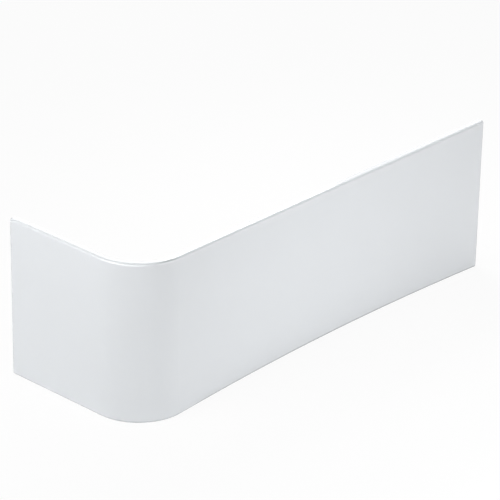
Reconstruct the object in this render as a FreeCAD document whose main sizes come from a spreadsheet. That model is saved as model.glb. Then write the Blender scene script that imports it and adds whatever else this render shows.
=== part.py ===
import FreeCAD, Part
import math
import os
import Sketcher

# One-piece acrylic panel for the two open sides of a corner bath: a short end panel, a rounded
# corner and a long front panel. The sheet has a return all round, and its lower front face curves
# in towards the floor. Glassfibre, plywood boards, levelling feet and brackets stand behind it.
# Millimetres, +Z up. The origin is on the floor, at the middle of the box that holds the panel.
# The front faces -Y and ends at a wall on +X. The end panel faces -X and ends at a wall on +Y.

SIZES = {
    # The sheet
    "panel_length": 1700,
    "panel_width": 585,
    "panel_height": 565,
    "corner_radius": 175,
    "toe_depth": 32,
    "toe_height": 180,
    "sheet_thickness": 4,
    "return_depth": 22,
    "edge_radius": 9,
    "end_edge_radius": 5,
    # Laminate and plywood on its back
    "backing_thickness": 2.5,
    "bond_gap": 0.3,
    "board_thickness": 18,
    "board_reach": 112,
    "board_height": 45,
    "rail_height": 60,
    "corner_board_width": 60,
    "rib_depth": 45,
    "rib_width": 18,
    "post_width": 80,
    # Levelling feet
    "foot_inset": 78,
    "foot_end_distance": 100,
    "stud_radius": 4,
    "stud_length": 88,
    "thread_clearance": 0.08,
    "pad_across_flats": 34,
    "pad_height": 9,
    "socket_floor": 4,
    "collar_across_flats": 13,
    "collar_height": 5,
    "nut_across_flats": 13,
    "nut_height": 6.5,
    "thread_plate_width": 30,
    "thread_plate_thickness": 4,
    "stud_hole_radius": 5,
    # Slotted angle brackets
    "bracket_foot_leg": 40,
    "bracket_upright_leg": 68,
    "bracket_width": 60,
    "bracket_thickness": 2,
    "bracket_bend_radius": 4,
    "slot_width": 5.5,
    "slot_length": 16,
    "slot_spacing": 32,
    "foot_slot_distance": 24,
    "wall_bracket_height": 400,
    # How far a cutting solid runs past what it cuts
    "overrun": 5,
}

TOE_MIDDLE_SHARE = 0.5
FLOOR_BRACKET_SHARES = (0.25, 0.75)
FRONT_RIB_COUNT = 3
RIGHT_ANGLE = 90
HALF_TURN = math.pi
HEXAGON_CORNERS = 6
DIAGONAL_SHARE = math.sqrt(0.5)

doc = FreeCAD.newDocument("BathPanel")
sizes = doc.addObject("Spreadsheet::Sheet", "Sizes")
for row, (name, number) in enumerate(SIZES.items(), start=1):
    sizes.set(f"A{row}", name)
    sizes.set(f"B{row}", str(number))
    sizes.setAlias(f"B{row}", name)
doc.recompute()


class Size:
    """A length as a number now, and as the sheet expression that keeps it live."""

    def __init__(self, value, text):
        self.value = value
        self.text = text

    def joined(self, sign, other, value):
        return Size(value, f"({self.text} {sign} {other.text})")

    def __add__(self, other):
        other = as_size(other)
        return self.joined("+", other, self.value + other.value)

    def __sub__(self, other):
        other = as_size(other)
        return self.joined("-", other, self.value - other.value)

    def __mul__(self, other):
        other = as_size(other)
        return self.joined("*", other, self.value * other.value)

    def __truediv__(self, other):
        other = as_size(other)
        return self.joined("/", other, self.value / other.value)

    def __neg__(self):
        return Size(-self.value, f"(0 - {self.text})")


def as_size(number):
    """A Size as it is, and a plain number as a Size."""
    return number if isinstance(number, Size) else Size(number, f"({number})")


def size(name):
    """The Size of one cell of the sheet."""
    return Size(SIZES[name], f"Sizes.{name}")


def bind(item, prop, value):
    """Keep one property of an object equal to a Size."""
    item.setExpression(prop, as_size(value).text)


def place(item, x, y, z):
    """Keep an object's position equal to three Sizes."""
    for axis, value in zip("xyz", (x, y, z)):
        bind(item, f"Placement.Base.{axis}", value)


def bound_box(name, low, high):
    """A plain block between two corners, each three Sizes."""
    block = doc.addObject("Part::Box", name)
    for prop, start, stop in zip(("Length", "Width", "Height"), low, high):
        bind(block, prop, stop - start)
    place(block, *low)
    return block


def bound_cylinder(name, centre, radius, length, turn=None):
    """A cylinder from a point, along +Z or along the direction that a turn gives +Z."""
    cylinder = doc.addObject("Part::Cylinder", name)
    if turn is not None:
        cylinder.Placement = FreeCAD.Placement(FreeCAD.Vector(), turn)
    bind(cylinder, "Radius", radius)
    bind(cylinder, "Height", length)
    place(cylinder, *centre)
    return cylinder


def hexagon_prism(name, centre, across_flats, height):
    """A six-sided block standing on a point."""
    prism = doc.addObject("Part::Prism", name)
    prism.Polygon = HEXAGON_CORNERS
    bind(prism, "Circumradius", across_flats / math.sqrt(3))
    bind(prism, "Height", height)
    place(prism, *centre)
    return prism


def boolean(kind, name, base, tool):
    """A cut, fusion or common part of two objects."""
    result = doc.addObject(f"Part::{kind}", name)
    result.Base = base
    result.Tool = tool
    return result


def group(name, members):
    """Identical separate pieces, or several cutting solids, held as one object."""
    result = doc.addObject("Part::Compound", name)
    result.Links = members
    return result


nothing = size("overrun") * 0

# Planes and distances behind the face that several pieces share
left_face = -size("panel_length") / 2
right_face = size("panel_length") / 2
front_face = -size("panel_width") / 2
wall_face = size("panel_width") / 2
bend_x = left_face + size("corner_radius")
bend_y = front_face + size("corner_radius")
inside_sheet = size("sheet_thickness") + size("bond_gap")
inside_backing = inside_sheet + size("backing_thickness") + size("bond_gap")
inside_board = inside_backing + size("board_thickness")
front_end = right_face - inside_sheet
side_end = wall_face - inside_sheet
panel_top = size("panel_height") - inside_sheet
rail_bottom = panel_top - size("rail_height")
board_bottom = size("board_height")
board_top = board_bottom + size("board_thickness")
upright_low = board_top + size("bond_gap")
upright_high = rail_bottom - size("bond_gap")


# Plan sections of the panel

def toe_at(level):
    """How far the toe recess sets the middle of the front back at one level."""
    share = as_size(1) - level / size("toe_height")
    return size("toe_depth") * share * share


def front_arc(bow):
    """How far the centre of the front's hollow arc lies across and down from the centre of the
    corner arc, and the hollow arc's radius. It leaves the corner arc smoothly, sets the front
    back by the bow and comes out again at the wall end."""
    reach = size("panel_length") - size("corner_radius")
    half_chord = (reach - bow * size("corner_radius") * 2 / reach) / 2
    radius = (half_chord * half_chord / bow + bow) / 2
    return reach - half_chord, radius + size("corner_radius") - bow, radius


def arc_of(centre, radius, start, end):
    """An arc of a circle, counter-clockwise, with its angles in radians."""
    circle = Part.Circle(centre, FreeCAD.Vector(0, 0, 1), radius)
    return Part.ArcOfCircle(circle, start, end)


def plan_sketch(body, name, level, bow, outer, inner, end):
    """One level of a strip that follows the panel, from an outer to an inner distance behind its
    face. Its ends stand off both walls by the end distance. No bow means a straight front."""
    sketch = body.newObject("Sketcher::SketchObject", name)
    sketch.AttachmentSupport = (origin_plane(body, "XY_Plane"), "")
    sketch.MapMode = "FlatFace"
    bind(sketch, "AttachmentOffset.Base.z", level)
    bend = FreeCAD.Vector(bend_x.value, bend_y.value, 0)
    end_x = (right_face - end).value
    end_y = (wall_face - end).value
    tangent = 3 * HALF_TURN / 2
    if bow is not None:
        across, down, radius = front_arc(bow)
        hollow = bend + FreeCAD.Vector(across.value, -down.value, 0)
        tangent = math.atan2(-down.value, across.value) + 2 * HALF_TURN

    def front_edge(distance):
        """The front's edge at one distance behind the face, with its two end points."""
        turn = FreeCAD.Vector(math.cos(tangent), math.sin(tangent), 0)
        near = bend + turn * (size("corner_radius").value - distance)
        if bow is None:
            far = FreeCAD.Vector(end_x, near.y, 0)
            return Part.LineSegment(near, far), far
        arc_radius = radius.value + distance
        rise = math.sqrt(arc_radius ** 2 - (end_x - hollow.x) ** 2)
        far = FreeCAD.Vector(end_x, hollow.y + rise, 0)
        first = math.atan2(rise, end_x - hollow.x)
        return arc_of(hollow, arc_radius, first, tangent - HALF_TURN), far

    def corner_edge(distance):
        """The corner's arc at one distance behind the face."""
        return arc_of(bend, size("corner_radius").value - distance, HALF_TURN, tangent)

    outer_front, outer_far = front_edge(outer.value)
    inner_front, inner_far = front_edge(inner.value)
    outer_x = (left_face + outer).value
    inner_x = (left_face + inner).value
    outer_end = FreeCAD.Vector(outer_x, end_y, 0)
    outer_bend = FreeCAD.Vector(outer_x, bend.y, 0)
    inner_bend = FreeCAD.Vector(inner_x, bend.y, 0)
    inner_end = FreeCAD.Vector(inner_x, end_y, 0)

    side = sketch.addGeometry(Part.LineSegment(outer_end, outer_bend), False)
    corner = sketch.addGeometry(corner_edge(outer.value), False)
    front = sketch.addGeometry(outer_front, False)
    front_close = sketch.addGeometry(Part.LineSegment(outer_far, inner_far), False)
    back = sketch.addGeometry(inner_front, False)
    back_corner = sketch.addGeometry(corner_edge(inner.value), False)
    back_side = sketch.addGeometry(Part.LineSegment(inner_bend, inner_end), False)
    side_close = sketch.addGeometry(Part.LineSegment(inner_end, outer_end), False)

    start, finish, centre = 1, 2, 3
    near_point, far_point = (start, finish) if bow is None else (finish, start)

    def add(kind, *rest):
        return sketch.addConstraint(Sketcher.Constraint(kind, *rest))

    for line in (side, front_close, back_side):
        add("Vertical", line)
    add("Horizontal", side_close)
    add("Tangent", side, finish, corner, start)
    add("Tangent", corner, finish, front, near_point)
    add("Coincident", front, far_point, front_close, start)
    add("Coincident", front_close, finish, back, far_point)
    add("Tangent", back, near_point, back_corner, finish)
    add("Tangent", back_corner, start, back_side, start)
    add("Coincident", back_side, finish, side_close, start)
    add("Coincident", side_close, finish, side, start)
    add("Coincident", back_corner, centre, corner, centre)
    if bow is None:
        add("Horizontal", front)
        add("Horizontal", back)
    else:
        add("Coincident", back, centre, front, centre)

    def dimension(label, value, kind, *rest):
        """A dimension of the sketch that stays equal to a Size."""
        index = add(kind, *rest, value.value)
        sketch.renameConstraint(index, label)
        bind(sketch, f"Constraints.{label}", value)

    root = (-1, 1)
    dimension("bend_across", -bend_x, "DistanceX", corner, centre, *root)
    dimension("bend_back", -bend_y, "DistanceY", corner, centre, *root)
    dimension("outer_radius", size("corner_radius") - outer, "Radius", corner)
    dimension("inner_radius", size("corner_radius") - inner, "Radius", back_corner)
    dimension("side_reach", wall_face - end, "DistanceY", *root, side, start)
    dimension("front_reach", right_face - end, "DistanceX", *root, front_close, start)
    if bow is not None:
        dimension("arc_across", across, "DistanceX", corner, centre, front, centre)
        dimension("arc_down", down, "DistanceY", front, centre, corner, centre)
    return sketch


def origin_plane(body, role):
    """One of a body's own origin planes, found by its role."""
    return next(item for item in body.Origin.OriginFeatures if item.Role == role)


def strip(body, name, outer, inner, end, low, high, cut=False):
    """Add to a body, or cut from it, a strip that follows the panel between two levels: a loft up
    the toe recess and a straight stretch above it."""
    levels = (low, size("toe_height") * TOE_MIDDLE_SHARE)
    sketches = [
        plan_sketch(body, f"{name}_{index}", level, toe_at(level), outer, inner, end)
        for index, level in enumerate(levels)
    ]
    sketches.append(plan_sketch(body, f"{name}_top", size("toe_height"), None, outer, inner, end))
    doc.recompute()
    kind = "PartDesign::SubtractiveLoft" if cut else "PartDesign::AdditiveLoft"
    loft = body.newObject(kind, f"{name}_toe")
    loft.Profile = (sketches[0], [""])
    loft.Sections = [(sketch, [""]) for sketch in sketches[1:]]
    kind = "PartDesign::Pocket" if cut else "PartDesign::Pad"
    straight = body.newObject(kind, f"{name}_straight")
    straight.Profile = (sketches[-1], [""])
    straight.Reversed = cut
    bind(straight, "Length", high - size("toe_height"))
    doc.recompute()


def behind_face(point):
    """How far a point lies behind the panel's outer face at its own level."""
    if point.y > bend_y.value:
        return point.x - left_face.value
    if point.x < bend_x.value:
        reach = math.hypot(point.x - bend_x.value, point.y - bend_y.value)
        return size("corner_radius").value - reach
    if point.z >= size("toe_height").value:
        return point.y - front_face.value
    across, down, radius = front_arc(toe_at(as_size(point.z)))
    reach = math.hypot(point.x - bend_x.value - across.value, point.y - bend_y.value + down.value)
    return reach - radius.value


def middle_of(edge):
    """The point half-way along an edge."""
    return edge.valueAt((edge.FirstParameter + edge.LastParameter) / 2)


def is_long_edge(edge):
    """Whether an edge of the plain block runs along the top or the bottom of the face."""
    middle = middle_of(edge)
    near = size("sheet_thickness").value / 2
    level = min(middle.z, size("panel_height").value - middle.z)
    return level < near and behind_face(middle) < near


def is_end_edge(edge):
    """Whether an edge lies round a wall end, other than at the back of the return."""
    middle = middle_of(edge)
    near = size("sheet_thickness").value / 2
    off_wall = min(right_face.value - middle.x, wall_face.value - middle.y)
    return off_wall < near and behind_face(middle) < size("return_depth").value - near


def round_edges(body, name, radius, wanted):
    """Round the edges of a body that pass a test."""
    base = body.Tip
    fillet = body.newObject("PartDesign::Fillet", name)
    edges = enumerate(base.Shape.Edges, start=1)
    fillet.Base = (base, [f"Edge{index}" for index, edge in edges if wanted(edge)])
    bind(fillet, "Radius", radius)
    doc.recompute()


# The sheet, its laminate and the space behind them

def acrylic_shell():
    """The formed sheet: a block rounded along its outer edges, more along the top and the bottom
    than at the wall ends, then hollowed from behind so that a return stands all round."""
    body = doc.addObject("PartDesign::Body", "acrylic_shell")
    height = size("panel_height")
    strip(body, "face", nothing, size("return_depth"), nothing, nothing, height)
    round_edges(body, "long_rounding", size("edge_radius"), is_long_edge)
    round_edges(body, "end_rounding", size("end_edge_radius"), is_end_edge)
    wall = size("sheet_thickness")
    depth = size("return_depth") + size("overrun")
    strip(body, "hollow", wall, depth, wall, wall, height - wall, cut=True)
    return body


def glassfibre_backing():
    """The laminate behind the sheet, from the bottom return to the top one."""
    body = doc.addObject("PartDesign::Body", "glassfibre_backing")
    inner = inside_sheet + size("backing_thickness")
    strip(body, "backing", inside_sheet, inner, inside_sheet, inside_sheet, panel_top)
    return body


def space_behind():
    """The space that the boards are cut to fit: from the laminate to the boards' inner edge."""
    body = doc.addObject("PartDesign::Body", "space_behind")
    reach = size("board_reach")
    strip(body, "space", inside_backing, reach, inside_sheet, inside_sheet, panel_top)
    return body


# Plywood

def fitted_board(label, low, high, feet=()):
    """A plywood board whose outer edge is cut to the space behind the laminate, with a hole for
    each foot that it carries."""
    block = bound_box(f"{label}_block", low, high)
    board = boolean("Common", f"{label}_outline", space, block)
    return drilled(label, board, feet)


def drilled(label, board, feet):
    """A board with its foot holes, or as it is if it carries no foot."""
    if not feet:
        board.Label = label
        return board
    holes = group(f"{label}_holes", [foot_hole(name) for name in feet])
    return boolean("Cut", label, board, holes)


def corner_board(label, base, width, feet=()):
    """A quarter disc of board that fits the corner's curve behind the laminate. Its inner corner
    is sawn off straight, to the width that its two square ends keep."""
    thickness = size("board_thickness")
    outer_radius = size("corner_radius") - inside_backing
    disc = bound_cylinder(f"{label}_disc", (bend_x, bend_y, base), outer_radius, thickness,
                          FreeCAD.Rotation(2 * RIGHT_ANGLE, 0, 0))
    disc.Angle = RIGHT_ANGLE
    sawn = outer_radius - width
    past = size("overrun") * DIAGONAL_SHARE
    offcut = doc.addObject("Part::Box", f"{label}_offcut")
    offcut.Placement = FreeCAD.Placement(FreeCAD.Vector(),
                                         FreeCAD.Rotation(-RIGHT_ANGLE / 2, 0, 0))
    bind(offcut, "Length", sawn / DIAGONAL_SHARE + size("overrun") * 2)
    bind(offcut, "Width", sawn)
    bind(offcut, "Height", thickness + size("overrun") * 2)
    place(offcut, bend_x - sawn - past, bend_y + past, base - size("overrun"))
    board = boolean("Cut", f"{label}_sawn", disc, offcut)
    return drilled(label, board, feet)


def bottom_board_front():
    """The board under the front's ribs, from the corner board to the wall end."""
    low = (bend_x, front_face, board_bottom)
    high = (front_end, front_face + size("board_reach"), board_top)
    return fitted_board("bottom_board_front", low, high, ("front_wall", "front_middle"))


def bottom_board_end():
    """The board behind the end panel, from the corner board to the wall end."""
    low = (left_face, bend_y, board_bottom)
    high = (left_face + size("board_reach"), side_end, board_top)
    return fitted_board("bottom_board_end", low, high, ("end_wall",))


def bottom_corner_board():
    """The curved board in the corner, level with the two straight ones."""
    width = size("board_reach") - inside_backing
    return corner_board("bottom_corner_board", board_bottom, width, ("bend",))


def top_corner_board():
    """The curved board that holds the corner's shape just below the rails."""
    base = upright_high - size("board_thickness")
    return corner_board("top_corner_board", base, size("corner_board_width"))


def top_rail_front():
    """The rail on edge under the top return of the front."""
    low = (bend_x, front_face + inside_backing, rail_bottom)
    high = (front_end, front_face + inside_board, panel_top)
    return bound_box("top_rail_front", low, high)


def top_rail_end():
    """The rail on edge under the top return of the end panel."""
    low = (left_face + inside_backing, bend_y, rail_bottom)
    high = (left_face + inside_board, side_end, panel_top)
    return bound_box("top_rail_end", low, high)


def front_ribs():
    """Upright ribs on edge behind the front, evenly spaced from the corner to the wall post. The
    outer edge of each follows the toe recess."""
    first = bend_x + size("bond_gap")
    pitch = (front_end - size("post_width") - first) / FRONT_RIB_COUNT
    inner = front_face + inside_backing + size("rib_depth")
    ribs = []
    for index in range(FRONT_RIB_COUNT):
        start = first + pitch * index
        low = (start, front_face, upright_low)
        high = (start + size("rib_width"), inner, upright_high)
        ribs.append(fitted_board(f"rib_front_{index + 1}", low, high))
    return ribs


def end_rib():
    """The upright rib where the end panel meets the corner."""
    start = bend_y + size("bond_gap")
    low = (left_face, start, upright_low)
    high = (left_face + inside_backing + size("rib_depth"), start + size("rib_width"),
            upright_high)
    return fitted_board("rib_end", low, high)


def wall_post_front():
    """The flat upright at the front's wall end, which takes a wall bracket."""
    low = (front_end - size("post_width"), front_face, upright_low)
    high = (front_end, front_face + inside_board, upright_high)
    return fitted_board("wall_post_front", low, high)


def wall_post_end():
    """The flat upright at the end panel's wall end, which takes a wall bracket."""
    low = (left_face, side_end - size("post_width"), upright_low)
    high = (left_face + inside_board, side_end, upright_high)
    return fitted_board("wall_post_end", low, high)


# Slotted angle brackets

FORWARD = (0, 1, 0)
BACKWARD = (0, -1, 0)
RIGHT = (1, 0, 0)
LEFT = (-1, 0, 0)
UP = (0, 0, 1)
DOWN = (0, 0, -1)

# For each bracket, where the corner of its bend is and the way that its own X, Y and Z point
bracket_level = size("wall_bracket_height")
BRACKETS = {
    f"floor_bracket_{index}": (
        (bend_x + (front_end - bend_x) * share, front_face + size("board_reach"), nothing),
        (FORWARD, LEFT, UP),
    )
    for index, share in enumerate(FLOOR_BRACKET_SHARES, start=1)
}
BRACKETS["floor_bracket_end"] = (
    (left_face + size("board_reach"), (bend_y + side_end) / 2, nothing),
    (RIGHT, FORWARD, UP),
)
BRACKETS["wall_bracket_front"] = (
    (right_face, front_face + inside_board, bracket_level),
    (FORWARD, DOWN, LEFT),
)
BRACKETS["wall_bracket_end"] = (
    (left_face + inside_board, wall_face, bracket_level),
    (RIGHT, UP, BACKWARD),
)


def polygon_sketch(body, name, role, corners):
    """A closed outline of straight lines on one of the body's origin planes, with each corner
    kept at two Sizes."""
    sketch = body.newObject("Sketcher::SketchObject", name)
    sketch.AttachmentSupport = (origin_plane(body, role), "")
    sketch.MapMode = "FlatFace"
    points = [FreeCAD.Vector(x.value, y.value, 0) for x, y in corners]
    for first, second in zip(points, points[1:] + points[:1]):
        sketch.addGeometry(Part.LineSegment(first, second), False)
    for index in range(len(points)):
        following = (index + 1) % len(points)
        sketch.addConstraint(Sketcher.Constraint("Coincident", index, 2, following, 1))
    for index, corner in enumerate(corners):
        fix_point(sketch, f"corner_{index}", (index, 1), corner)
    return sketch


def fix_point(sketch, label, point, place_at):
    """Keep a sketch point at two Sizes from the sketch's origin."""
    root = (-1, 1)
    axes = ((-2, "DistanceX", "x"), (-1, "DistanceY", "y"))
    for value, (axis, kind, letter) in zip(place_at, axes):
        if value.value == 0:
            sketch.addConstraint(Sketcher.Constraint("PointOnObject", *point, axis))
            continue
        pair = root + point if value.value > 0 else point + root
        index = sketch.addConstraint(Sketcher.Constraint(kind, *pair, abs(value.value)))
        sketch.renameConstraint(index, f"{label}_{letter}")
        bind(sketch, f"Constraints.{label}_{letter}", value if value.value > 0 else -value)


def slot_outline(sketch, label, first, second, radius):
    """A slot between two centres, as two half circles and two lines."""
    centres = [FreeCAD.Vector(x.value, y.value, 0) for x, y in (first, second)]
    along = (centres[1] - centres[0]).normalize()
    heading = math.atan2(along.y, along.x)
    side = FreeCAD.Vector(-along.y, along.x, 0) * radius.value
    quarter = HALF_TURN / 2
    near = sketch.addGeometry(
        arc_of(centres[0], radius.value, heading + quarter, heading + 3 * quarter), False)
    far = sketch.addGeometry(
        arc_of(centres[1], radius.value, heading - quarter, heading + quarter), False)
    left = sketch.addGeometry(Part.LineSegment(centres[0] + side, centres[1] + side), False)
    right = sketch.addGeometry(Part.LineSegment(centres[1] - side, centres[0] - side), False)
    for joint in ((near, 1, left, 1), (left, 2, far, 2), (far, 1, right, 1), (right, 2, near, 2)):
        sketch.addConstraint(Sketcher.Constraint("Tangent", *joint))
    fix_point(sketch, f"{label}_near", (near, 3), first)
    fix_point(sketch, f"{label}_far", (far, 3), second)
    index = sketch.addConstraint(Sketcher.Constraint("Radius", near, radius.value))
    sketch.renameConstraint(index, f"{label}_radius")
    bind(sketch, f"Constraints.{label}_radius", radius)


def slot_pocket(body, name, role, slots):
    """Slots cut through one leg of a bracket, from its outer face inwards."""
    sketch = body.newObject("Sketcher::SketchObject", name)
    sketch.AttachmentSupport = (origin_plane(body, role), "")
    sketch.MapMode = "FlatFace"
    for index, (first, second) in enumerate(slots):
        slot_outline(sketch, f"slot_{index}", first, second, size("slot_width") / 2)
    pocket = body.newObject("PartDesign::Pocket", f"{name}_cut")
    pocket.Profile = (sketch, [""])
    pocket.Reversed = True
    bind(pocket, "Length", size("bracket_thickness") + size("overrun"))
    doc.recompute()


def bracket(label, corner, ways):
    """An angle bracket bent from strip. Its foot leg lies along its own X and has two slots across
    the strip. Its upright leg stands along its own Z and has one slot along the leg, level with
    the middle of the bottom boards."""
    body = doc.addObject("PartDesign::Body", label)
    thickness = size("bracket_thickness")
    foot = size("bracket_foot_leg")
    upright = size("bracket_upright_leg")
    corners = [
        (nothing, nothing), (foot, nothing), (foot, thickness),
        (thickness, thickness), (thickness, upright), (nothing, upright),
    ]
    profile = polygon_sketch(body, f"{label}_profile", "XZ_Plane", corners)
    bent_strip = body.newObject("PartDesign::Pad", f"{label}_strip")
    bent_strip.Profile = (profile, [""])
    bent_strip.Midplane = True
    bind(bent_strip, "Length", size("bracket_width"))
    doc.recompute()
    round_bend(body, f"{label}_bend", nothing, size("bracket_bend_radius"))
    round_bend(body, f"{label}_inner_bend", thickness, size("bracket_bend_radius") - thickness)
    half_slot = (size("slot_length") - size("slot_width")) / 2
    half_spacing = size("slot_spacing") / 2
    across = size("foot_slot_distance")
    level = board_bottom + size("board_thickness") / 2
    foot_slots = [
        ((across, middle - half_slot), (across, middle + half_slot))
        for middle in (half_spacing, -half_spacing)
    ]
    upright_slots = [((nothing, level - half_slot), (nothing, level + half_slot))]
    slot_pocket(body, f"{label}_foot_slots", "XY_Plane", foot_slots)
    slot_pocket(body, f"{label}_upright_slot", "YZ_Plane", upright_slots)
    directions = [FreeCAD.Vector(*way) for way in ways]
    turn = FreeCAD.Rotation(*directions, "XYZ")
    body.Placement = FreeCAD.Placement(FreeCAD.Vector(), turn)
    place(body, *corner)
    return body


def round_bend(body, name, offset, radius):
    """Round the edge of a bracket's bend that runs along Y, at one distance in X and Z."""
    near = size("bracket_thickness").value / 4

    def is_bend_edge(edge):
        """Whether an edge is the one along the bend."""
        middle = edge.BoundBox.Center
        off = math.hypot(middle.x - offset.value, middle.z - offset.value)
        return off < near and edge.BoundBox.YLength > near

    round_edges(body, name, radius, is_bend_edge)


# Levelling feet

foot_row = front_face + size("foot_inset")
bend_reach = (size("corner_radius") - size("foot_inset")) * DIAGONAL_SHARE
FEET = {
    "front_wall": (right_face - size("foot_end_distance"), foot_row),
    "front_middle": ((bend_x + front_end) / 2, foot_row),
    "bend": (bend_x - bend_reach, bend_y - bend_reach),
    "end_wall": (left_face + size("foot_inset"), wall_face - size("foot_end_distance")),
}
thread_hole_radius = size("stud_radius") + size("thread_clearance")
plate_bottom = board_bottom - size("thread_plate_thickness")


def foot_hole(name):
    """The clearance hole in a board for one foot's stud."""
    x, y = FEET[name]
    return bound_cylinder(f"{name}_stud_hole", (x, y, board_bottom - size("overrun")),
                          size("stud_hole_radius"), size("board_thickness") + size("overrun") * 2)


def foot_pad(name):
    """The hexagonal pad of a foot, with the round socket that the stud turns in."""
    x, y = FEET[name]
    block = hexagon_prism(f"pad_block_{name}", (x, y, nothing), size("pad_across_flats"),
                          size("pad_height"))
    socket = bound_cylinder(f"pad_socket_{name}", (x, y, size("socket_floor")),
                            thread_hole_radius, size("pad_height"))
    return boolean("Cut", f"foot_pad_{name}", block, socket)


def foot_stud(name):
    """The threaded stud of a foot, with its hexagon collar just above the pad."""
    x, y = FEET[name]
    stem = bound_cylinder(f"stem_{name}", (x, y, size("socket_floor") + size("bond_gap")),
                          size("stud_radius"), size("stud_length"))
    collar = hexagon_prism(f"collar_{name}", (x, y, size("pad_height") + size("bond_gap")),
                           size("collar_across_flats"), size("collar_height"))
    return boolean("Fuse", f"foot_stud_{name}", stem, collar)


def weld_nut_plates():
    """The square plates under the bottom boards, each with a nut welded on below it and the
    thread of one stud through both."""
    members = []
    half_width = size("thread_plate_width") / 2
    base = plate_bottom - size("nut_height")
    for name, (x, y) in FEET.items():
        plate = bound_box(f"plate_block_{name}", (x - half_width, y - half_width, plate_bottom),
                          (x + half_width, y + half_width, board_bottom))
        nut = hexagon_prism(f"nut_block_{name}", (x, y, base), size("nut_across_flats"),
                            size("nut_height"))
        thread = bound_cylinder(f"thread_hole_{name}", (x, y, base - size("overrun")),
                                thread_hole_radius, board_bottom - base + size("overrun") * 2)
        solid = boolean("Fuse", f"nut_on_plate_{name}", plate, nut)
        members.append(boolean("Cut", f"weld_nut_plate_{name}", solid, thread))
    return group("weld_nut_plates", members)


# The whole panel

space = space_behind()
pieces = [
    acrylic_shell(),
    glassfibre_backing(),
    bottom_board_front(),
    bottom_board_end(),
    bottom_corner_board(),
    top_corner_board(),
    top_rail_front(),
    top_rail_end(),
    *front_ribs(),
    end_rib(),
    wall_post_front(),
    wall_post_end(),
    *[bracket(name, corner, ways) for name, (corner, ways) in BRACKETS.items()],
    weld_nut_plates(),
    *[foot_pad(name) for name in FEET],
    *[foot_stud(name) for name in FEET],
]
doc.recompute()

for item in doc.Objects:
    if "Invalid" in item.State or "Error" in item.State:
        raise SystemExit(f"{item.Name} failed: {item.State}")
for piece in pieces:
    if piece.Shape.isNull() or not piece.Shape.isValid() or not piece.Shape.Solids:
        raise SystemExit(f"{piece.Label} has no valid solid")

os.makedirs("parts", exist_ok=True)
for piece in pieces:
    piece.Shape.exportStep(f"parts/{piece.Label}.step")
    print(f"{piece.Label}: {len(piece.Shape.Solids)} solids, {piece.Shape.Volume:.0f} mm3")
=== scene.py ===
import math
import random

import bmesh
import bpy
from mathutils import Matrix, Quaternion, Vector


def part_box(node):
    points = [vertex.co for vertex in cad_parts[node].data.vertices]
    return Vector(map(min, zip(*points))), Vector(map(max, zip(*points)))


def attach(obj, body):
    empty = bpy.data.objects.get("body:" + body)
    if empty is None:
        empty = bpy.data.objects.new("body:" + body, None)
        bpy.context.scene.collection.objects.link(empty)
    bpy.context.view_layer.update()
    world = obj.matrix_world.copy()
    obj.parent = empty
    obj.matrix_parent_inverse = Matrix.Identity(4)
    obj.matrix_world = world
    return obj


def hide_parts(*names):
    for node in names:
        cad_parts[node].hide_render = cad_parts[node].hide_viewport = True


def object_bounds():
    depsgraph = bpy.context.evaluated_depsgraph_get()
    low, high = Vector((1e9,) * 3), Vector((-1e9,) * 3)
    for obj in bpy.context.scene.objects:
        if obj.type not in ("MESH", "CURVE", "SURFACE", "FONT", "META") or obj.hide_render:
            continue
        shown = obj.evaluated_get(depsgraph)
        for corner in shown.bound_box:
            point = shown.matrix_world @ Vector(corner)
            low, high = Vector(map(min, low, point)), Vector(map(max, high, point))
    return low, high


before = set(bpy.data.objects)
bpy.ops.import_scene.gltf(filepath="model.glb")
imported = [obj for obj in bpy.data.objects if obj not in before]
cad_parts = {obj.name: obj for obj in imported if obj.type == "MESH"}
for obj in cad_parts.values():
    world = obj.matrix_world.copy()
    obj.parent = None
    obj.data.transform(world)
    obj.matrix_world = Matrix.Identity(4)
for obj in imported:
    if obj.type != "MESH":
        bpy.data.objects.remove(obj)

CAD_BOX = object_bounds()

bl_info = {
    "name": "Corner Bath Panel",
    "version": (1, 0, 0),
    "blender": (4, 5, 0),
    "location": "3D View > Sidebar > Bath Panel",
    "description": "Finishes, screws, feet and studio for a formed acrylic bath panel",
    "category": "Object",
}

MM = 0.001
FULL_TURN = 2 * math.pi
QUARTER_TURN = math.pi / 2
UP = Vector((0, 0, 1))
SEED = 11

ACRYLIC_NODES = ("acrylic_shell",)
LAMINATE_NODES = ("glassfibre_backing",)
# Boards by the way that their plies are stacked and the way that their grain runs
BOARDS = {
    ("Z", "X"): ("bottom_board_front", "bottom_corner_board", "top_corner_board"),
    ("Z", "Y"): ("bottom_board_end",),
    ("Y", "X"): ("top_rail_front",),
    ("X", "Y"): ("top_rail_end",),
    ("X", "Z"): ("rib_front_1", "rib_front_2", "rib_front_3", "wall_post_end"),
    ("Y", "Z"): ("rib_end", "wall_post_front"),
}
# Brackets, with the way that the foot leg and the way that the upright leg of each points
BRACKETS = {
    "floor_bracket_1": ((0, 1, 0), (0, 0, 1)),
    "floor_bracket_2": ((0, 1, 0), (0, 0, 1)),
    "floor_bracket_end": ((1, 0, 0), (0, 0, 1)),
    "wall_bracket_front": ((0, 1, 0), (-1, 0, 0)),
    "wall_bracket_end": ((1, 0, 0), (0, -1, 0)),
}
BRACKET_THICKNESS = 2 * MM
# From the bend of a bracket to the slot that takes its screw
UPRIGHT_SLOT_REACH = 54 * MM
FEET = ("front_wall", "front_middle", "bend", "end_wall")
PLATE_THICKNESS = 4 * MM
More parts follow.
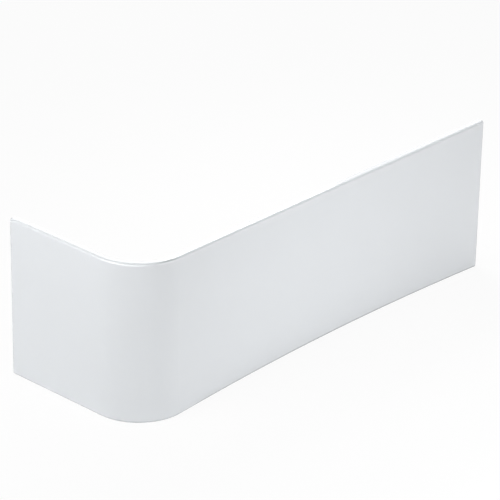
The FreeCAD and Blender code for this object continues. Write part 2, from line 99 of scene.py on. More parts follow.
# The sides of the stud on which a plate's four screws sit, and how far from it both ways
PLATE_SCREW_SIDES = ((-1, -1), (1, -1), (1, 1), (-1, 1))
PLATE_SCREW_OFFSET = 11 * MM
COLLAR_BOTTOM = 9.3 * MM
COLLAR_HEIGHT = 5 * MM
COLLAR_SIDES = 6
COLLAR_ACROSS_FLATS = 13 * MM
COLLAR_ROUNDING = 0.5 * MM
PAD_ROUNDING = 0.9 * MM
THREAD_START = 13 * MM
CREST_RADIUS = 3.98 * MM
ROOT_RADIUS = 3.32 * MM
TIP_RADIUS = 3 * MM
# One pitch of a metric thread: share of the pitch, and share of the way from root to crest
THREAD_PROFILE = ((0, 0), (0.25, 0), (0.5625, 1), (0.6875, 1))
# The stud's plain pin: radius and height above the floor
PIN_PROFILE = ((3.3 * MM, 4.3 * MM), (3.9 * MM, 4.9 * MM), (3.9 * MM, 13.5 * MM))
# A pan-head screw from its tip to the top of its head, as shares of the head's diameter
SCREW_PROFILE = ((0.03, -1.2), (0.2, -1), (0.24, -0.9), (0.24, 0), (0.5, 0), (0.5, 0.06),
                 (0.47, 0.15), (0.39, 0.23), (0.24, 0.28), (0.03, 0.3))
# Its cross recess in the same shares: length, width and depth of each arm
RECESS_SHARES = (0.5, 0.1, 0.16)
# Columns of points around a round form
ROUND_COLUMNS = 32
# Points closer than this are one point, in a form made here and in a copy of a CAD mesh
SAME_POINT = MM / 1000
SAME_CAD_POINT = MM / 100
# Faces that turn less than this are one flat face, and edges that turn more than these are
# rounded on a pad, or stay sharp in the shading
FLAT_ANGLE = math.radians(1)
ROUNDED_ANGLE = math.radians(40)
SMOOTH_ANGLE = math.radians(30)

# How far in from the sides of the sheet's box its rounded edges are looked for
EDGE_REACH = 10 * MM
# A painted shade line along a rounded edge, by how far the rounding has turned to that side, from
# 0 to 1: where it starts at the top, at an end and at the floor, how much turn brings it to its
#         full
# strength, and where it begins to go and is gone
TOP_LINE_START = 0.45
END_LINE_START = 0.1
FLOOR_LINE_START = 0.1
LINE_RISE = 0.25
LINE_FALL = (0.93, 0.99)
# Axis along which a painted shade line fades, how far in from the corner's side of the box it is
# faintest and full, and its least strength
TOP_LINE_FADES = (("Y", 392.5 * MM, 172.5 * MM, 0.1), ("X", 90 * MM, 130 * MM, 0.12),
                  ("X", 190 * MM, 150 * MM, 0.04))
FLOOR_LINE_FADE = ("X", 150 * MM, 350 * MM, 0.35)
# The darkest colour of the sheet's waves and of the zinc's clouds, as a share of the lightest
WAVE_SHADE = 0.985
CLOUD_SHADE = 0.8
# Ways that the laminate's strands lie, in radians
STRAND_TURNS = (0.2, 0.9, 1.5, 2.2, 2.8)
STRAND_LENGTH = 45 * MM
# A strand is about 1 mm wide, too fine to show, and is drawn wider
STRAND_WIDTH = 2.5 * MM
# Levels of the noise between which a strand's edge lies
STRAND_EDGE = (0.6, 0.68)
# Plies in a board, the part of two plies in which one gives way to the next, and how dark the
# light ply and the end grain are, from the light wood's colour to the dark wood's
PLIES = 13
PLY_EDGE = (0.44, 0.56)
PLY_TONES = (0.05, 0.9)
# Levels of the noise between which a board's figure goes from light to dark
FIGURE_LEVELS = (0.35, 0.68)
# How far a board's surface has turned to the way that its plies are stacked where it is a face
FACE_TURN = 0.7
# Roughness of the zinc where it is brightest and dullest
ZINC_ROUGHNESS = (0.24, 0.46)
# Sizes of patterns in millimetres
WAVE_SIZE = 140
FIGURE_LENGTH = 160
FIGURE_WIDTH = 5
BOARD_THICKNESS = 18
CLOUD_SIZE = 9
# Spark erosion leaves a grain of about 0.05, too fine to show, and it is drawn coarser
GRAIN_SIZE = 0.8
# How far the patterns stand out of their surfaces
WAVE_HEIGHT = 0.3 * MM
STRAND_HEIGHT = 0.6 * MM
FIGURE_HEIGHT = 0.4 * MM
GRAIN_HEIGHT = 0.1 * MM


def srgb(text):
    """The linear RGBA colour of an sRGB hex value."""
    shares = [int(text[start:start + 2], 16) / 255 for start in (1, 3, 5)]
    linear = [
        share / 12.92 if share <= 0.04045 else ((share + 0.055) / 1.055) ** 2.4
        for share in shares
    ]
    return (*linear, 1.0)


def per(millimetres):
    """The scale of a texture on Object coordinates whose features are this many millimetres."""
    return 1 / (millimetres * MM)


def shaded(colour, share):
    """A colour darkened to this share of itself."""
    return (*(part * share for part in colour[:3]), 1.0)


class BathPanelSettings(bpy.types.PropertyGroup):
    """Colours and sizes that a user would change."""

    acrylic: bpy.props.FloatVectorProperty(
        name="Acrylic", description="Colour of the formed sheet", subtype="COLOR", size=4,
        min=0, max=1, default=srgb("#E6E9EC"))
    # Colour of a painted shade line along the rounding of the sheet's top edge and wall ends
    edge_shade_acrylic: bpy.props.FloatVectorProperty(
        name="Edge shade acrylic", description="Colour of the painted shade along the sheet's rounded edges",
        subtype="COLOR", size=4, min=0, max=1, default=srgb("#C3C7C9"))
    # Colour of painted shade on the rounding that faces down at the floor
    floor_shade_acrylic: bpy.props.FloatVectorProperty(
        name="Floor shade acrylic", description="Colour of the painted shade on the rounding at the floor",
        subtype="COLOR", size=4, min=0, max=1, default=srgb("#B4B7B9"))
    resin: bpy.props.FloatVectorProperty(
        name="Resin", description="Colour of the laminate between its strands", subtype="COLOR",
        size=4, min=0, max=1, default=srgb("#C9C7B4"))
    strand: bpy.props.FloatVectorProperty(
        name="Strands", description="Colour of the glass strands in the laminate",
        subtype="COLOR", size=4, min=0, max=1, default=srgb("#E2E0D2"))
    ply_light: bpy.props.FloatVectorProperty(
        name="Light wood", description="Early wood on the plywood's faces", subtype="COLOR",
        size=4, min=0, max=1, default=srgb("#D3B184"))
    ply_dark: bpy.props.FloatVectorProperty(
        name="Dark wood", description="Late wood and end grain", subtype="COLOR", size=4,
        min=0, max=1, default=srgb("#AC8252"))
    zinc: bpy.props.FloatVectorProperty(
        name="Zinc", description="Colour of the zinc-plated steel", subtype="COLOR", size=4,
        min=0, max=1, default=srgb("#BFC3C7"))
    polyamide: bpy.props.FloatVectorProperty(
        name="Foot plastic", description="Colour of the moulded foot pads", subtype="COLOR",
        size=4, min=0, max=1, default=srgb("#1E1E20"))
    head_diameter: bpy.props.FloatProperty(
        name="Screw head", description="Diameter of the bracket screws' heads", unit="LENGTH",
        subtype="DISTANCE", min=6 * MM, max=14 * MM, default=10 * MM)
    plate_head_diameter: bpy.props.FloatProperty(
        name="Plate screw head", description="Diameter of the weld-nut plates' screw heads",
        unit="LENGTH", subtype="DISTANCE", min=4 * MM, max=8 * MM, default=6 * MM)
    thread_pitch: bpy.props.FloatProperty(
        name="Thread pitch", description="Rise of the studs' thread in one turn", unit="LENGTH",
        subtype="DISTANCE", min=0.5 * MM, max=2 * MM, default=1.25 * MM)


def add_node(tree, kind, inputs=None, **settings):
    """Add a shader node with its settings. Its inputs, by name or number, are constants or other
    nodes' sockets."""
    added = tree.nodes.new(kind)
    for name, value in settings.items():
        setattr(added, name, value)
    for name, value in (inputs or {}).items():
        if isinstance(value, bpy.types.NodeSocket):
            tree.links.new(value, added.inputs[name])
        else:
            added.inputs[name].default_value = value
    return added


def new_material(name):
    """An empty node material, and its tree."""
    material = bpy.data.materials.new(name)
    material.use_nodes = True
    material.node_tree.nodes.clear()
    return material, material.node_tree


def edge_line(tree, place, facing, axis, side, start):
    """1 along the middle of the rounding at one side of the sheet's box, and 0 elsewhere."""
    corner = CAD_BOX[1] if side > 0 else CAD_BOX[0]
    near = add_node(tree, "ShaderNodeMath", {
        0: place.outputs[axis], 1: corner["XYZ".index(axis)] - side * EDGE_REACH,
    }, operation="GREATER_THAN" if side > 0 else "LESS_THAN")
    rise = add_node(tree, "ShaderNodeMapRange", {
        "Value": facing.outputs[axis], "From Min": side * start,
        "From Max": side * (start + LINE_RISE)})
    fall_start, fall_end = LINE_FALL
    fall = add_node(tree, "ShaderNodeMapRange", {
        "Value": facing.outputs[axis], "From Min": side * fall_start,
        "From Max": side * fall_end, "To Min": 1.0, "To Max": 0.0})
    band = add_node(tree, "ShaderNodeMath", {
        0: rise.outputs["Result"], 1: fall.outputs["Result"]}, operation="MINIMUM")
    line = add_node(tree, "ShaderNodeMath", {
        0: band.outputs["Value"], 1: near.outputs["Value"]}, operation="MULTIPLY")
    return line.outputs["Value"]


def faded(tree, place, line, axis, start, end, least):
    """An edge line that grows along an axis from its least strength at one distance from the
    corner's side of the box to its full one at another."""
    outside = CAD_BOX[0]["XYZ".index(axis)]
    along = add_node(tree, "ShaderNodeMapRange", {
        "Value": place.outputs[axis], "From Min": outside + start, "From Max": outside + end,
        "To Min": least, "To Max": 1.0})
    fading = add_node(tree, "ShaderNodeMath", {0: line, 1: along.outputs["Result"]},
                      operation="MULTIPLY")
    return fading.outputs["Value"]


def painted_edge_shade(tree, place, facing):
    """Painted shade along the sheet's rounded edges: 1 along the rounding at the ends that meet the
    walls and, at the top, where the corner meets the front, less along the rest of the top, and 0
    elsewhere."""
    shade_line = edge_line(tree, place, facing, "Z", 1, TOP_LINE_START)
    for fade in TOP_LINE_FADES:
        shade_line = faded(tree, place, shade_line, *fade)
    for axis in "XY":
        end = edge_line(tree, place, facing, axis, 1, END_LINE_START)
        both = add_node(tree, "ShaderNodeMath", {0: shade_line, 1: end}, operation="MAXIMUM")
        shade_line = both.outputs["Value"]
    return shade_line


def cast_acrylic(settings):
    """Cast acrylic sheet, vacuum-formed. Its face stays glossy, and forming leaves long faint
    waves in it, seen in its reflections and as a trace of shade. A line of painted shade runs along
    the rounding of its top edge and wall ends, and a darker band of painted shade lies on the
    rounding at the floor."""
    material, tree = new_material("Cast acrylic sheet")
    coordinates = add_node(tree, "ShaderNodeTexCoord").outputs
    place = add_node(tree, "ShaderNodeSeparateXYZ", {"Vector": coordinates["Object"]})
    facing = add_node(tree, "ShaderNodeSeparateXYZ", {"Vector": coordinates["Normal"]})
    waves = add_node(tree, "ShaderNodeTexNoise", {
        "Vector": coordinates["Object"], "Scale": per(WAVE_SIZE), "Detail": 2.0,
        "Roughness": 0.4})
    sheet = add_node(tree, "ShaderNodeMix", {
        "Factor": waves.outputs["Fac"], "A": settings.acrylic,
        "B": shaded(settings.acrylic, WAVE_SHADE),
    }, data_type="RGBA")
    # Painted shade: a darker line along the rounding of the top edge and the wall ends
    edge_shaded_sheet = add_node(tree, "ShaderNodeMix", {
        "Factor": painted_edge_shade(tree, place, facing), "A": sheet.outputs["Result"],
        "B": settings.edge_shade_acrylic,
    }, data_type="RGBA")
    # Painted shade: a darker band on the rounding that faces down at the floor, stronger right of
    # the corner
    floor_shade_line = edge_line(tree, place, facing, "Z", -1, FLOOR_LINE_START)
    tint = add_node(tree, "ShaderNodeMix", {
        "Factor": faded(tree, place, floor_shade_line, *FLOOR_LINE_FADE),
        "A": edge_shaded_sheet.outputs["Result"], "B": settings.floor_shade_acrylic,
    }, data_type="RGBA")
    ripple = add_node(tree, "ShaderNodeBump", {
        "Height": waves.outputs["Fac"], "Strength": 0.25, "Distance": WAVE_HEIGHT})
    shader = add_node(tree, "ShaderNodeBsdfPrincipled", {
        "Base Color": tint.outputs["Result"], "Roughness": 0.16, "IOR": 1.49,
        "Normal": ripple.outputs["Normal"],
    })
    add_node(tree, "ShaderNodeOutputMaterial", {"Surface": shader.outputs["BSDF"]})
    return material


def chopped_strand_laminate(settings):
    """Chopped glass strands rolled into polyester resin: short pale strands that lie every way,
    with a lumpy, half-glossy surface."""
    material, tree = new_material("Chopped strand laminate")
    place = add_node(tree, "ShaderNodeTexCoord").outputs["Object"]
    axes = add_node(tree, "ShaderNodeSeparateXYZ", {"Vector": place}).outputs
    along = add_node(tree, "ShaderNodeMath", {0: axes["X"], 1: axes["Y"]}, operation="SUBTRACT")
    flat = add_node(tree, "ShaderNodeCombineXYZ", {"X": along.outputs["Value"], "Y": axes["Z"]})
    edge_start, edge_end = STRAND_EDGE
    strands = 0.0
    for turn in STRAND_TURNS:
        laid = add_node(tree, "ShaderNodeMapping", {
            "Vector": flat.outputs["Vector"], "Rotation": (0, 0, turn),
            "Location": (turn, turn, 0), "Scale": (STRAND_LENGTH, STRAND_WIDTH, 1),
        }, vector_type="TEXTURE")
        layer = add_node(tree, "ShaderNodeTexNoise", {
            "Vector": laid.outputs["Vector"], "Scale": 1.0, "Detail": 1.0, "Roughness": 0.5})
        sharp = add_node(tree, "ShaderNodeMapRange", {
            "Value": layer.outputs["Fac"], "From Min": edge_start, "From Max": edge_end})
        over = add_node(tree, "ShaderNodeMath", {0: strands, 1: sharp.outputs["Result"]},
                        operation="MAXIMUM")
        strands = over.outputs["Value"]
    tint = add_node(tree, "ShaderNodeMix",
                    {"Factor": strands, "A": settings.resin, "B": settings.strand},
                    data_type="RGBA")
    relief = add_node(tree, "ShaderNodeBump",
                      {"Height": strands, "Strength": 0.6, "Distance": STRAND_HEIGHT})
    shader = add_node(tree, "ShaderNodeBsdfPrincipled", {
        "Base Color": tint.outputs["Result"], "Roughness": 0.42, "IOR": 1.54,
        "Normal": relief.outputs["Normal"],
    })
    add_node(tree, "ShaderNodeOutputMaterial", {"Surface": shader.outputs["BSDF"]})
    return material


def birch_plywood(settings, stacked, grain):
    """Sawn birch plywood, 18 mm: grain on its faces, and thirteen plies on its sawn edges, every
    other one end grain and darker."""
    material, tree = new_material(f"Birch plywood {stacked}{grain}")
    coordinates = add_node(tree, "ShaderNodeTexCoord").outputs
    place = coordinates["Object"]
    scale = tuple(per(FIGURE_LENGTH if axis == grain else FIGURE_WIDTH) for axis in "XYZ")
    stretched = add_node(tree, "ShaderNodeMapping", {"Vector": place, "Scale": scale})
    figure = add_node(tree, "ShaderNodeTexNoise", {
        "Vector": stretched.outputs["Vector"], "Scale": 1.0, "Detail": 5.0, "Roughness": 0.55,
        "Distortion": 0.6})
    lightest, darkest = FIGURE_LEVELS
    contrast = add_node(tree, "ShaderNodeMapRange", {
        "Value": figure.outputs["Fac"], "From Min": lightest, "From Max": darkest})
    face = add_node(tree, "ShaderNodeMix", {
        "Factor": contrast.outputs["Result"], "A": settings.ply_light, "B": settings.ply_dark,
    }, data_type="RGBA")
    level = add_node(tree, "ShaderNodeSeparateXYZ", {"Vector": place}).outputs[stacked]
    pairs = add_node(tree, "ShaderNodeMath", {0: level, 1: per(BOARD_THICKNESS) * PLIES / 2},
                     operation="MULTIPLY")
    pair = add_node(tree, "ShaderNodeMath", {0: pairs.outputs["Value"]}, operation="FRACT")
    edge_start, edge_end = PLY_EDGE
    light, dark = PLY_TONES
    band = add_node(tree, "ShaderNodeMapRange", {
        "Value": pair.outputs["Value"], "From Min": edge_start, "From Max": edge_end,
        "To Min": light, "To Max": dark})
    edge = add_node(tree, "ShaderNodeMix", {
        "Factor": band.outputs["Result"], "A": settings.ply_light, "B": settings.ply_dark,
    }, data_type="RGBA")
    facing = add_node(tree, "ShaderNodeSeparateXYZ", {"Vector": coordinates["Normal"]})
    outward = add_node(tree, "ShaderNodeMath", {0: facing.outputs[stacked]},
                       operation="ABSOLUTE")
    is_face = add_node(tree, "ShaderNodeMath", {0: outward.outputs["Value"], 1: FACE_TURN},
                       operation="GREATER_THAN")
    tint = add_node(tree, "ShaderNodeMix", {
        "Factor": is_face.outputs["Value"], "A": edge.outputs["Result"],
        "B": face.outputs["Result"],
    }, data_type="RGBA")
    relief = add_node(tree, "ShaderNodeBump", {
        "Height": figure.outputs["Fac"], "Strength": 0.3, "Distance": FIGURE_HEIGHT})
    shader = add_node(tree, "ShaderNodeBsdfPrincipled", {
        "Base Color": tint.outputs["Result"], "Roughness": 0.68,
        "Normal": relief.outputs["Normal"],
    })
    add_node(tree, "ShaderNodeOutputMaterial", {"Surface": shader.outputs["BSDF"]})
    return material


def zinc_plated_steel(settings):
    """Steel with bright zinc on it: a soft shine that is cloudy where the plating took unevenly."""
    material, tree = new_material("Zinc-plated steel")
    place = add_node(tree, "ShaderNodeTexCoord").outputs["Object"]
    clouds = add_node(tree, "ShaderNodeTexNoise", {
        "Vector": place, "Scale": per(CLOUD_SIZE), "Detail": 4.0, "Roughness": 0.6})
    tint = add_node(tree, "ShaderNodeMix", {
        "Factor": clouds.outputs["Fac"], "A": settings.zinc,
        "B": shaded(settings.zinc, CLOUD_SHADE),
    }, data_type="RGBA")
    brightest, dullest = ZINC_ROUGHNESS
    rough = add_node(tree, "ShaderNodeMapRange", {
        "Value": clouds.outputs["Fac"], "To Min": brightest, "To Max": dullest})
    shader = add_node(tree, "ShaderNodeBsdfPrincipled", {
        "Base Color": tint.outputs["Result"], "Metallic": 1.0,
        "Roughness": rough.outputs["Result"],
    })
    add_node(tree, "ShaderNodeOutputMaterial", {"Surface": shader.outputs["BSDF"]})
    return material


def steel(context):
    """The zinc-plated steel that all the fittings share."""
    kept = bpy.data.materials.get("Zinc-plated steel")
    return kept or zinc_plated_steel(context.scene.bath_panel)


def moulded_polyamide(settings):
    """Black glass-filled polyamide, moulded: a fine spark-eroded grain that dulls its shine."""
    material, tree = new_material("Moulded polyamide")
    place = add_node(tree, "ShaderNodeTexCoord").outputs["Object"]
    grain = add_node(tree, "ShaderNodeTexNoise", {
        "Vector": place, "Scale": per(GRAIN_SIZE), "Detail": 2.0, "Roughness": 0.5})
    tint = add_node(tree, "ShaderNodeMix", {
        "Factor": grain.outputs["Fac"], "A": settings.polyamide, "B": srgb("#2B2B2E"),
    }, data_type="RGBA")
    relief = add_node(tree, "ShaderNodeBump", {
        "Height": grain.outputs["Fac"], "Strength": 0.3, "Distance": GRAIN_HEIGHT})
    shader = add_node(tree, "ShaderNodeBsdfPrincipled", {
        "Base Color": tint.outputs["Result"], "Roughness": 0.55, "IOR": 1.53,
        "Normal": relief.outputs["Normal"],
    })
    add_node(tree, "ShaderNodeOutputMaterial", {"Surface": shader.outputs["BSDF"]})
    return material


def finish(names, material):
    """Give CAD nodes a material."""
    for name in names:
        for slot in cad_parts[name].material_slots:
            slot.material = material


def clear_selection():
    """Leave nothing selected."""
    if bpy.context.object is not None and bpy.context.object.mode != "OBJECT":
        bpy.ops.object.mode_set(mode="OBJECT")
    bpy.ops.object.select_all(action="DESELECT")


def pick(*pieces):
    """Select only these pieces, with the first one active."""
    clear_selection()
    for piece in pieces:
        piece.select_set(True)
    bpy.context.view_layer.objects.active = pieces[0]


def apply_modifier(piece, kind, **settings):
    """Put one modifier on a piece and apply it."""
    pick(piece)
    modifier = piece.modifiers.new(kind.title(), kind)
    for name, value in settings.items():
        setattr(modifier, name, value)
    bpy.ops.object.modifier_apply(modifier=modifier.name)


def joined(*pieces):
    """Several pieces as one mesh."""
    pick(*pieces)
    bpy.ops.object.join()
    return pieces[0]


def skin(name, columns, seam_rows=0):
    """A closed form from upright columns of points, each joined to the next and the last to the
    first, this many rows further up. Both ends are capped."""
    shape = bmesh.new()
    grid = [[shape.verts.new(point) for point in column] for column in columns]
    top = len(grid[0]) - 1
    for index, column in enumerate(grid):
        following = grid[(index + 1) % len(grid)]
        shift = seam_rows if index + 1 == len(grid) else 0
        for row in range(top):
            lower = following[min(row + shift, top)]
            upper = following[min(row + 1 + shift, top)]
            corners = dict.fromkeys((column[row], lower, upper, column[row + 1]))
            shape.faces.new(corners)
    shape.faces.new([column[top] for column in grid])
    shape.faces.new([column[0] for column in reversed(grid)])
    bmesh.ops.remove_doubles(shape, verts=shape.verts, dist=SAME_POINT)
    bmesh.ops.recalc_face_normals(shape, faces=shape.faces)
    mesh = bpy.data.meshes.new(name)
    shape.to_mesh(mesh)
    shape.free()
    piece = bpy.data.objects.new(name, mesh)
    bpy.context.scene.collection.objects.link(piece)
    return piece


def lathed(name, profile):
    """A round form about the Z axis from radii and heights, listed from the bottom up."""
    angles = [FULL_TURN * column / ROUND_COLUMNS for column in range(ROUND_COLUMNS)]
    return skin(name, [
        [Vector((radius * math.cos(angle), radius * math.sin(angle), height))
         for radius, height in profile]
        for angle in angles
    ])


def copy_at(model, place, turn=Quaternion()):
    """A copy of a piece with its own mesh, at a place."""
    copied = model.copy()
    copied.data = model.data.copy()
    bpy.context.scene.collection.objects.link(copied)
    copied.rotation_mode = "QUATERNION"
    copied.rotation_quaternion = turn
    copied.location = place
    return copied


def drop(model):
    """Take away a piece that only served as the model of its copies, or as a cutter."""
    bpy.data.objects.remove(model)


def middle_and_half(name):
    """The middle and the half sizes of a CAD node's box."""
    low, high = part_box(name)
    return (low + high) / 2, (high - low) / 2


def foot_place(foot):
    """Where a foot's axis meets the floor."""
    middle, _ = middle_and_half(f"foot_pad_{foot}")
    return Vector((middle.x, middle.y, 0))


def ready_piece(piece, name, material, body, replaced=()):
    """Apply a piece's place, name it, give it its material and let it ride on its body."""
    pick(piece)
    piece.name = name
    piece.data.name = name
    piece.data.materials.clear()
    piece.data.materials.append(material)
    bpy.ops.object.transform_apply(location=True, rotation=True, scale=True)
    bpy.ops.object.shade_smooth_by_angle(angle=SMOOTH_ANGLE)
    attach(piece, body)
    if replaced:
        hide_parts(*replaced)
    clear_selection()


class BATHPANEL_OT_sheet(bpy.types.Operator):
    """Finish the formed acrylic sheet"""

    bl_idname = "bath_panel.sheet"
    bl_label = "Acrylic Sheet"

    def execute(self, context):
        finish(ACRYLIC_NODES, cast_acrylic(context.scene.bath_panel))
        return {"FINISHED"}


class BATHPANEL_OT_laminate(bpy.types.Operator):
    """Finish the laminate on the sheet's back"""

    bl_idname = "bath_panel.laminate"
    bl_label = "Laminate"

    def execute(self, context):
        finish(LAMINATE_NODES, chopped_strand_laminate(context.scene.bath_panel))
        return {"FINISHED"}


class BATHPANEL_OT_boards(bpy.types.Operator):
    """Finish the plywood boards, each with its own direction of plies and grain"""

    bl_idname = "bath_panel.boards"
    bl_label = "Plywood Boards"

    def execute(self, context):
        for (stacked, grain), names in BOARDS.items():
            finish(names, birch_plywood(context.scene.bath_panel, stacked, grain))
        return {"FINISHED"}


class BATHPANEL_OT_steel(bpy.types.Operator):
    """Finish the brackets and the weld-nut plates"""

    bl_idname = "bath_panel.steel"
    bl_label = "Brackets and Plates"

    def execute(self, context):
        finish((*BRACKETS, "weld_nut_plates"), steel(context))
        return {"FINISHED"}


def threaded_rod(name, low, high, pitch):
    """A right-hand threaded rod whose rows of points follow the thread up."""
    turns = math.ceil((high - low) / pitch)
    columns = []
    for column in range(ROUND_COLUMNS):
        share = column / ROUND_COLUMNS
        points = []
        for turn in range(-1, turns + 1):
            for phase, rise in THREAD_PROFILE:
                height = min(max(low + (turn + phase + share) * pitch, low), high)
                radius = min(
                    ROOT_RADIUS + (CREST_RADIUS - ROOT_RADIUS) * rise,
                    ROOT_RADIUS + height - low,
                    TIP_RADIUS + high - height,
                )
                angle = FULL_TURN * share
                points.append(Vector((radius * math.cos(angle), radius * math.sin(angle), height)))
        columns.append(points)
    return skin(name, columns, seam_rows=len(THREAD_PROFILE))


class BATHPANEL_OT_studs(bpy.types.Operator):
    """Model one threaded stud with its plain pin and hexagon collar, and set one in each foot"""

    bl_idname = "bath_panel.studs"
    bl_label = "Threaded Studs"

    def execute(self, context):
        _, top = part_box(f"foot_stud_{FEET[0]}")
        rod = threaded_rod("stud", THREAD_START, top.z, context.scene.bath_panel.thread_pitch)
        clear_selection()
        bpy.ops.mesh.primitive_cylinder_add(
            vertices=COLLAR_SIDES, radius=COLLAR_ACROSS_FLATS / math.sqrt(3),
            depth=COLLAR_HEIGHT, location=(0, 0, COLLAR_BOTTOM + COLLAR_HEIGHT / 2),
            rotation=(0, 0, FULL_TURN / COLLAR_SIDES / 2))
        collar = context.object
        apply_modifier(collar, "BEVEL", width=COLLAR_ROUNDING, segments=2)
        model = joined(rod, lathed("pin", PIN_PROFILE), collar)
        for foot in FEET:
            stud = copy_at(model, foot_place(foot))
            ready_piece(stud, f"threaded_stud_{foot}", steel(context), f"stud_{foot}",
                        (f"foot_stud_{foot}",))
        drop(model)
        return {"FINISHED"}


class BATHPANEL_OT_pads(bpy.types.Operator):
    """Round the edges of one foot pad and set one under each stud"""

    bl_idname = "bath_panel.pads"
    bl_label = "Foot Pads"

    def execute(self, context):
        first = FEET[0]
        model = copy_at(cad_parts[f"foot_pad_{first}"], -foot_place(first))
        pick(model)
        bpy.ops.object.mode_set(mode="EDIT")
        bpy.ops.mesh.select_all(action="SELECT")
        bpy.ops.mesh.remove_doubles(threshold=SAME_CAD_POINT)
        bpy.ops.mesh.dissolve_limited(angle_limit=FLAT_ANGLE)
        bpy.ops.object.mode_set(mode="OBJECT")
        bpy.ops.object.transform_apply()
        apply_modifier(model, "BEVEL", width=PAD_ROUNDING, segments=3, limit_method="ANGLE",
                       angle_limit=ROUNDED_ANGLE)
        polyamide = moulded_polyamide(context.scene.bath_panel)
        for foot in FEET:
            pad = copy_at(model, foot_place(foot))
            ready_piece(pad, f"moulded_pad_{foot}", polyamide, f"foot_{foot}",
                        (f"foot_pad_{foot}",))
        drop(model)
        return {"FINISHED"}


def screw_model(diameter):
    """One pan-head screw that points down the Z axis, with the underside of its head at zero."""
    screw = lathed("screw", [(radius * diameter, height * diameter)
                             for radius, height in SCREW_PROFILE])
    length, width, depth = (share * diameter for share in RECESS_SHARES)
    top = SCREW_PROFILE[-1][1] * diameter
    for turn in (0, QUARTER_TURN):
        clear_selection()
        bpy.ops.mesh.primitive_cube_add(size=1, location=(0, 0, top), rotation=(0, 0, turn),
                                        scale=(length, width, depth * 2))
        arm = bpy.context.object
        bpy.ops.object.transform_apply()
        apply_modifier(screw, "BOOLEAN", operation="DIFFERENCE", object=arm, solver="EXACT")
        drop(arm)
    return screw


class BATHPANEL_OT_screws(bpy.types.Operator):
    """Model one pan-head screw of each size, and set one in each bracket and four in each plate"""

    bl_idname = "bath_panel.screws"
    bl_label = "Screws"

    def execute(self, context):
        settings = context.scene.bath_panel
        chance = random.Random(SEED)

        def drive(model, name, place, outward):
            """Set one screw, turned by chance as screws are left."""
            spin = Quaternion(UP, chance.uniform(0, QUARTER_TURN))
            turn = Vector(outward).to_track_quat("Z", "Y") @ spin
            ready_piece(copy_at(model, place, turn), name, steel(context), "panel")

        model = screw_model(settings.head_diameter)
        for name, ways in BRACKETS.items():
            foot_way, upright_way = (Vector(way) for way in ways)
            middle, half = middle_and_half(name)
            bend = middle - foot_way * abs(half.dot(foot_way))
            bend -= upright_way * abs(half.dot(upright_way))
            place = bend + foot_way * BRACKET_THICKNESS + upright_way * UPRIGHT_SLOT_REACH
            drive(model, f"screw_{name}", place, foot_way)
        drop(model)
        model = screw_model(settings.plate_head_diameter)
        _, plate_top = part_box("weld_nut_plates")
        for foot in FEET:
            for index, (across, along) in enumerate(PLATE_SCREW_SIDES, 1):
                offset = Vector((across, along, 0)) * PLATE_SCREW_OFFSET
                place = foot_place(foot) + offset + UP * (plate_top.z - PLATE_THICKNESS)
                drive(model, f"plate_screw_{foot}_{index}", place, -UP)
        drop(model)
        return {"FINISHED"}


# Studio

# The camera, fitted to the outline of the panel in the photograph
CAMERA_PLACE = (-6.447, -5.848, 4.459)
CAMERA_HEADING = math.radians(-47.68)
CAMERA_TILT = math.radians(64.24)
CAMERA_ROLL = math.radians(1.01)
CAMERA_LENS = 205.6
WHITE = srgb("#FFFFFF")
FLOOR_SIZE = 60
FLOOR_COLOURS = (srgb("#EAEAEA"), srgb("#E5E5E5"))
# Size in millimetres of the clouds in the floor's paint
FLOOR_CLOUD_SIZE = 900
# How much of the floor's paint gives way to plain white for the rays that look at it
FLOOR_WHITE_SHARE = 0.93
# Soft boxes: place, what each faces, width and height in metres, and power in watts
SOFT_BOXES = {
    "End panel top box": ((-2.8, 0.4, 3.6), (-0.85, 0.0, 0.25), 2.0, 2.0, 78),
    "End panel low box": ((-3.6, 0.2, 1.6), (-0.85, 0.1, 0.3), 1.6, 1.6, 26.5),
    "Front low box": ((-0.2, -2.0, 0.3), (0.0, -0.29, 0.3), 1.4, 0.3, 12.8),
    "Front right box": ((1.4, -2.2, 0.25), (0.6, -0.29, 0.1), 1.0, 0.3, 5.6),
    "Front side box": ((6.0, -2.6, 1.4), (0.3, -0.29, 0.3), 1.8, 1.8, 33),
    "Rim box": ((0.9, 0.6, 1.7), (0.75, -0.28, 0.565), 1.0, 0.4, 22),
    "Back box": ((2.6, 3.6, 2.4), (0.0, 0.0, 0.25), 2.6, 2.2, 38),
}
# Soft boxes that only show in gloss, for the corner's rounding, with the same values
SHINE_BOXES = {
    "Corner shine box 1": ((-3.46, 0.67, 1.64), (-0.8, -0.24, 0.565), 2.8, 2.2, 112),
    "Corner shine box 2": ((-3.18, -1.72, 1.64), (-0.8, -0.24, 0.565), 2.6, 2.2, 115),
}
SKY_STRENGTH = 0.212


def soft_box(name, place, target, width, height, power):
    """A rectangular area light that faces a point."""
    lamp = bpy.data.lights.new(name, "AREA")
    lamp.shape = "RECTANGLE"
    lamp.size = width
    lamp.size_y = height
    lamp.energy = power
    holder = bpy.data.objects.new(name, lamp)
    bpy.context.scene.collection.objects.link(holder)
    holder.location = place
    aim = Vector(target) - Vector(place)
    holder.rotation_euler = aim.to_track_quat("-Z", "Y").to_euler()
    return holder


def seen_as_white(tree, lit, white, share):
    """Mix a lit shader with this share of a plain white one, for the rays that look at the
    background straight, in a gloss or through glass."""
    path = add_node(tree, "ShaderNodeLightPath").outputs
    looks = add_node(tree, "ShaderNodeMath", {
        0: path["Is Camera Ray"], 1: path["Is Glossy Ray"]}, operation="MAXIMUM")
    also = add_node(tree, "ShaderNodeMath", {
        0: looks.outputs["Value"], 1: path["Is Transmission Ray"]}, operation="MAXIMUM")
    weight = add_node(tree, "ShaderNodeMath", {0: also.outputs["Value"], 1: share},
                      operation="MULTIPLY")
    mixed = add_node(tree, "ShaderNodeMixShader", {
        "Fac": weight.outputs["Value"], 1: lit, 2: white})
    return mixed.outputs["Shader"]


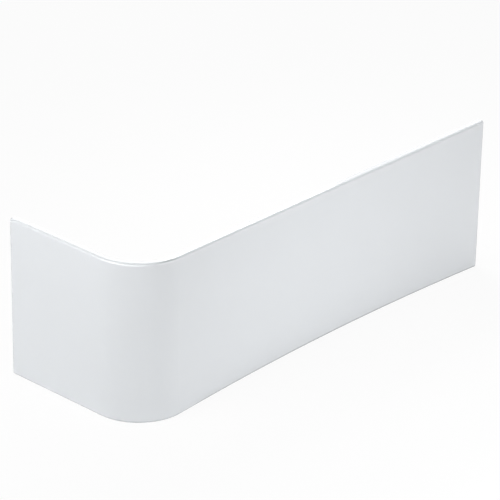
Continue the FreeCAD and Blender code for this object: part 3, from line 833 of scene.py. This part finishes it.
def studio_paint():
    """Matt white paint with a trace of clouds, for the floor."""
    material, tree = new_material("White studio floor")
    place = add_node(tree, "ShaderNodeTexCoord").outputs["Object"]
    clouds = add_node(tree, "ShaderNodeTexNoise", {
        "Vector": place, "Scale": per(FLOOR_CLOUD_SIZE)})
    light, dark = FLOOR_COLOURS
    tint = add_node(tree, "ShaderNodeMix", {
        "Factor": clouds.outputs["Fac"], "A": light, "B": dark}, data_type="RGBA")
    paint = add_node(tree, "ShaderNodeBsdfDiffuse", {"Color": tint.outputs["Result"]})
    white = add_node(tree, "ShaderNodeEmission", {"Color": WHITE, "Strength": 1.0})
    surface = seen_as_white(tree, paint.outputs["BSDF"], white.outputs["Emission"],
                            FLOOR_WHITE_SHARE)
    add_node(tree, "ShaderNodeOutputMaterial", {"Surface": surface})
    return material


def studio_sky():
    """A dim even light from all round that is seen as white."""
    world = bpy.data.worlds.new("Studio")
    world.use_nodes = True
    tree = world.node_tree
    tree.nodes.clear()
    sky = add_node(tree, "ShaderNodeBackground", {"Color": WHITE, "Strength": SKY_STRENGTH})
    white = add_node(tree, "ShaderNodeBackground", {"Color": WHITE, "Strength": 1.0})
    surface = seen_as_white(tree, sky.outputs["Background"], white.outputs["Background"], 1)
    add_node(tree, "ShaderNodeOutputWorld", {"Surface": surface})
    return world


def photograph_camera():
    """The camera at the photograph's viewing angle."""
    lens = bpy.data.cameras.new("Photograph view")
    lens.lens = CAMERA_LENS
    camera = bpy.data.objects.new("Photograph view", lens)
    bpy.context.scene.collection.objects.link(camera)
    turn = (Matrix.Rotation(CAMERA_HEADING, 4, "Z") @ Matrix.Rotation(CAMERA_TILT, 4, "X")
            @ Matrix.Rotation(CAMERA_ROLL, 4, "Z"))
    camera.matrix_world = Matrix.Translation(CAMERA_PLACE) @ turn
    return camera


class BATHPANEL_OT_stage(bpy.types.Operator):
    """Add the floor, the soft light and the camera"""

    bl_idname = "bath_panel.stage"
    bl_label = "Studio"

    def execute(self, context):
        scene = context.scene
        scene.view_settings.view_transform = "Standard"
        clear_selection()
        bpy.ops.mesh.primitive_plane_add(size=FLOOR_SIZE, location=(0, 0, 0))
        floor = context.object
        floor.name = "Studio floor"
        bpy.ops.object.transform_apply()
        floor.data.materials.append(studio_paint())
        scene.world = studio_sky()
        for name, box in SOFT_BOXES.items():
            soft_box(name, *box)
        for name, box in SHINE_BOXES.items():
            soft_box(name, *box).visible_diffuse = False
        scene.camera = photograph_camera()
        return {"FINISHED"}


class BATHPANEL_PT_sidebar(bpy.types.Panel):
    """Lists the operators and the settings"""

    bl_label = "Bath Panel"
    bl_idname = "BATHPANEL_PT_sidebar"
    bl_space_type = "VIEW_3D"
    bl_region_type = "UI"
    bl_category = "Bath Panel"

    def draw(self, context):
        column = self.layout.column()
        for name in BathPanelSettings.__annotations__:
            column.prop(context.scene.bath_panel, name)
        for operator in OPERATORS:
            column.operator(operator.bl_idname)


OPERATORS = (
    BATHPANEL_OT_sheet,
    BATHPANEL_OT_laminate,
    BATHPANEL_OT_boards,
    BATHPANEL_OT_steel,
    BATHPANEL_OT_studs,
    BATHPANEL_OT_pads,
    BATHPANEL_OT_screws,
    BATHPANEL_OT_stage,
)
CLASSES = (BathPanelSettings, *OPERATORS, BATHPANEL_PT_sidebar)


def register():
    """Add the classes and the scene's settings."""
    for item in CLASSES:
        bpy.utils.register_class(item)
    bpy.types.Scene.bath_panel = bpy.props.PointerProperty(type=BathPanelSettings)


def unregister():
    """Remove them again."""
    del bpy.types.Scene.bath_panel
    for item in reversed(CLASSES):
        bpy.utils.unregister_class(item)


def main():
    """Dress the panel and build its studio."""
    register()
    bpy.ops.bath_panel.sheet()
    bpy.ops.bath_panel.laminate()
    bpy.ops.bath_panel.boards()
    bpy.ops.bath_panel.steel()
    bpy.ops.bath_panel.studs()
    bpy.ops.bath_panel.pads()
    bpy.ops.bath_panel.screws()
    bpy.ops.bath_panel.stage()


if __name__ == "__main__":
    main()
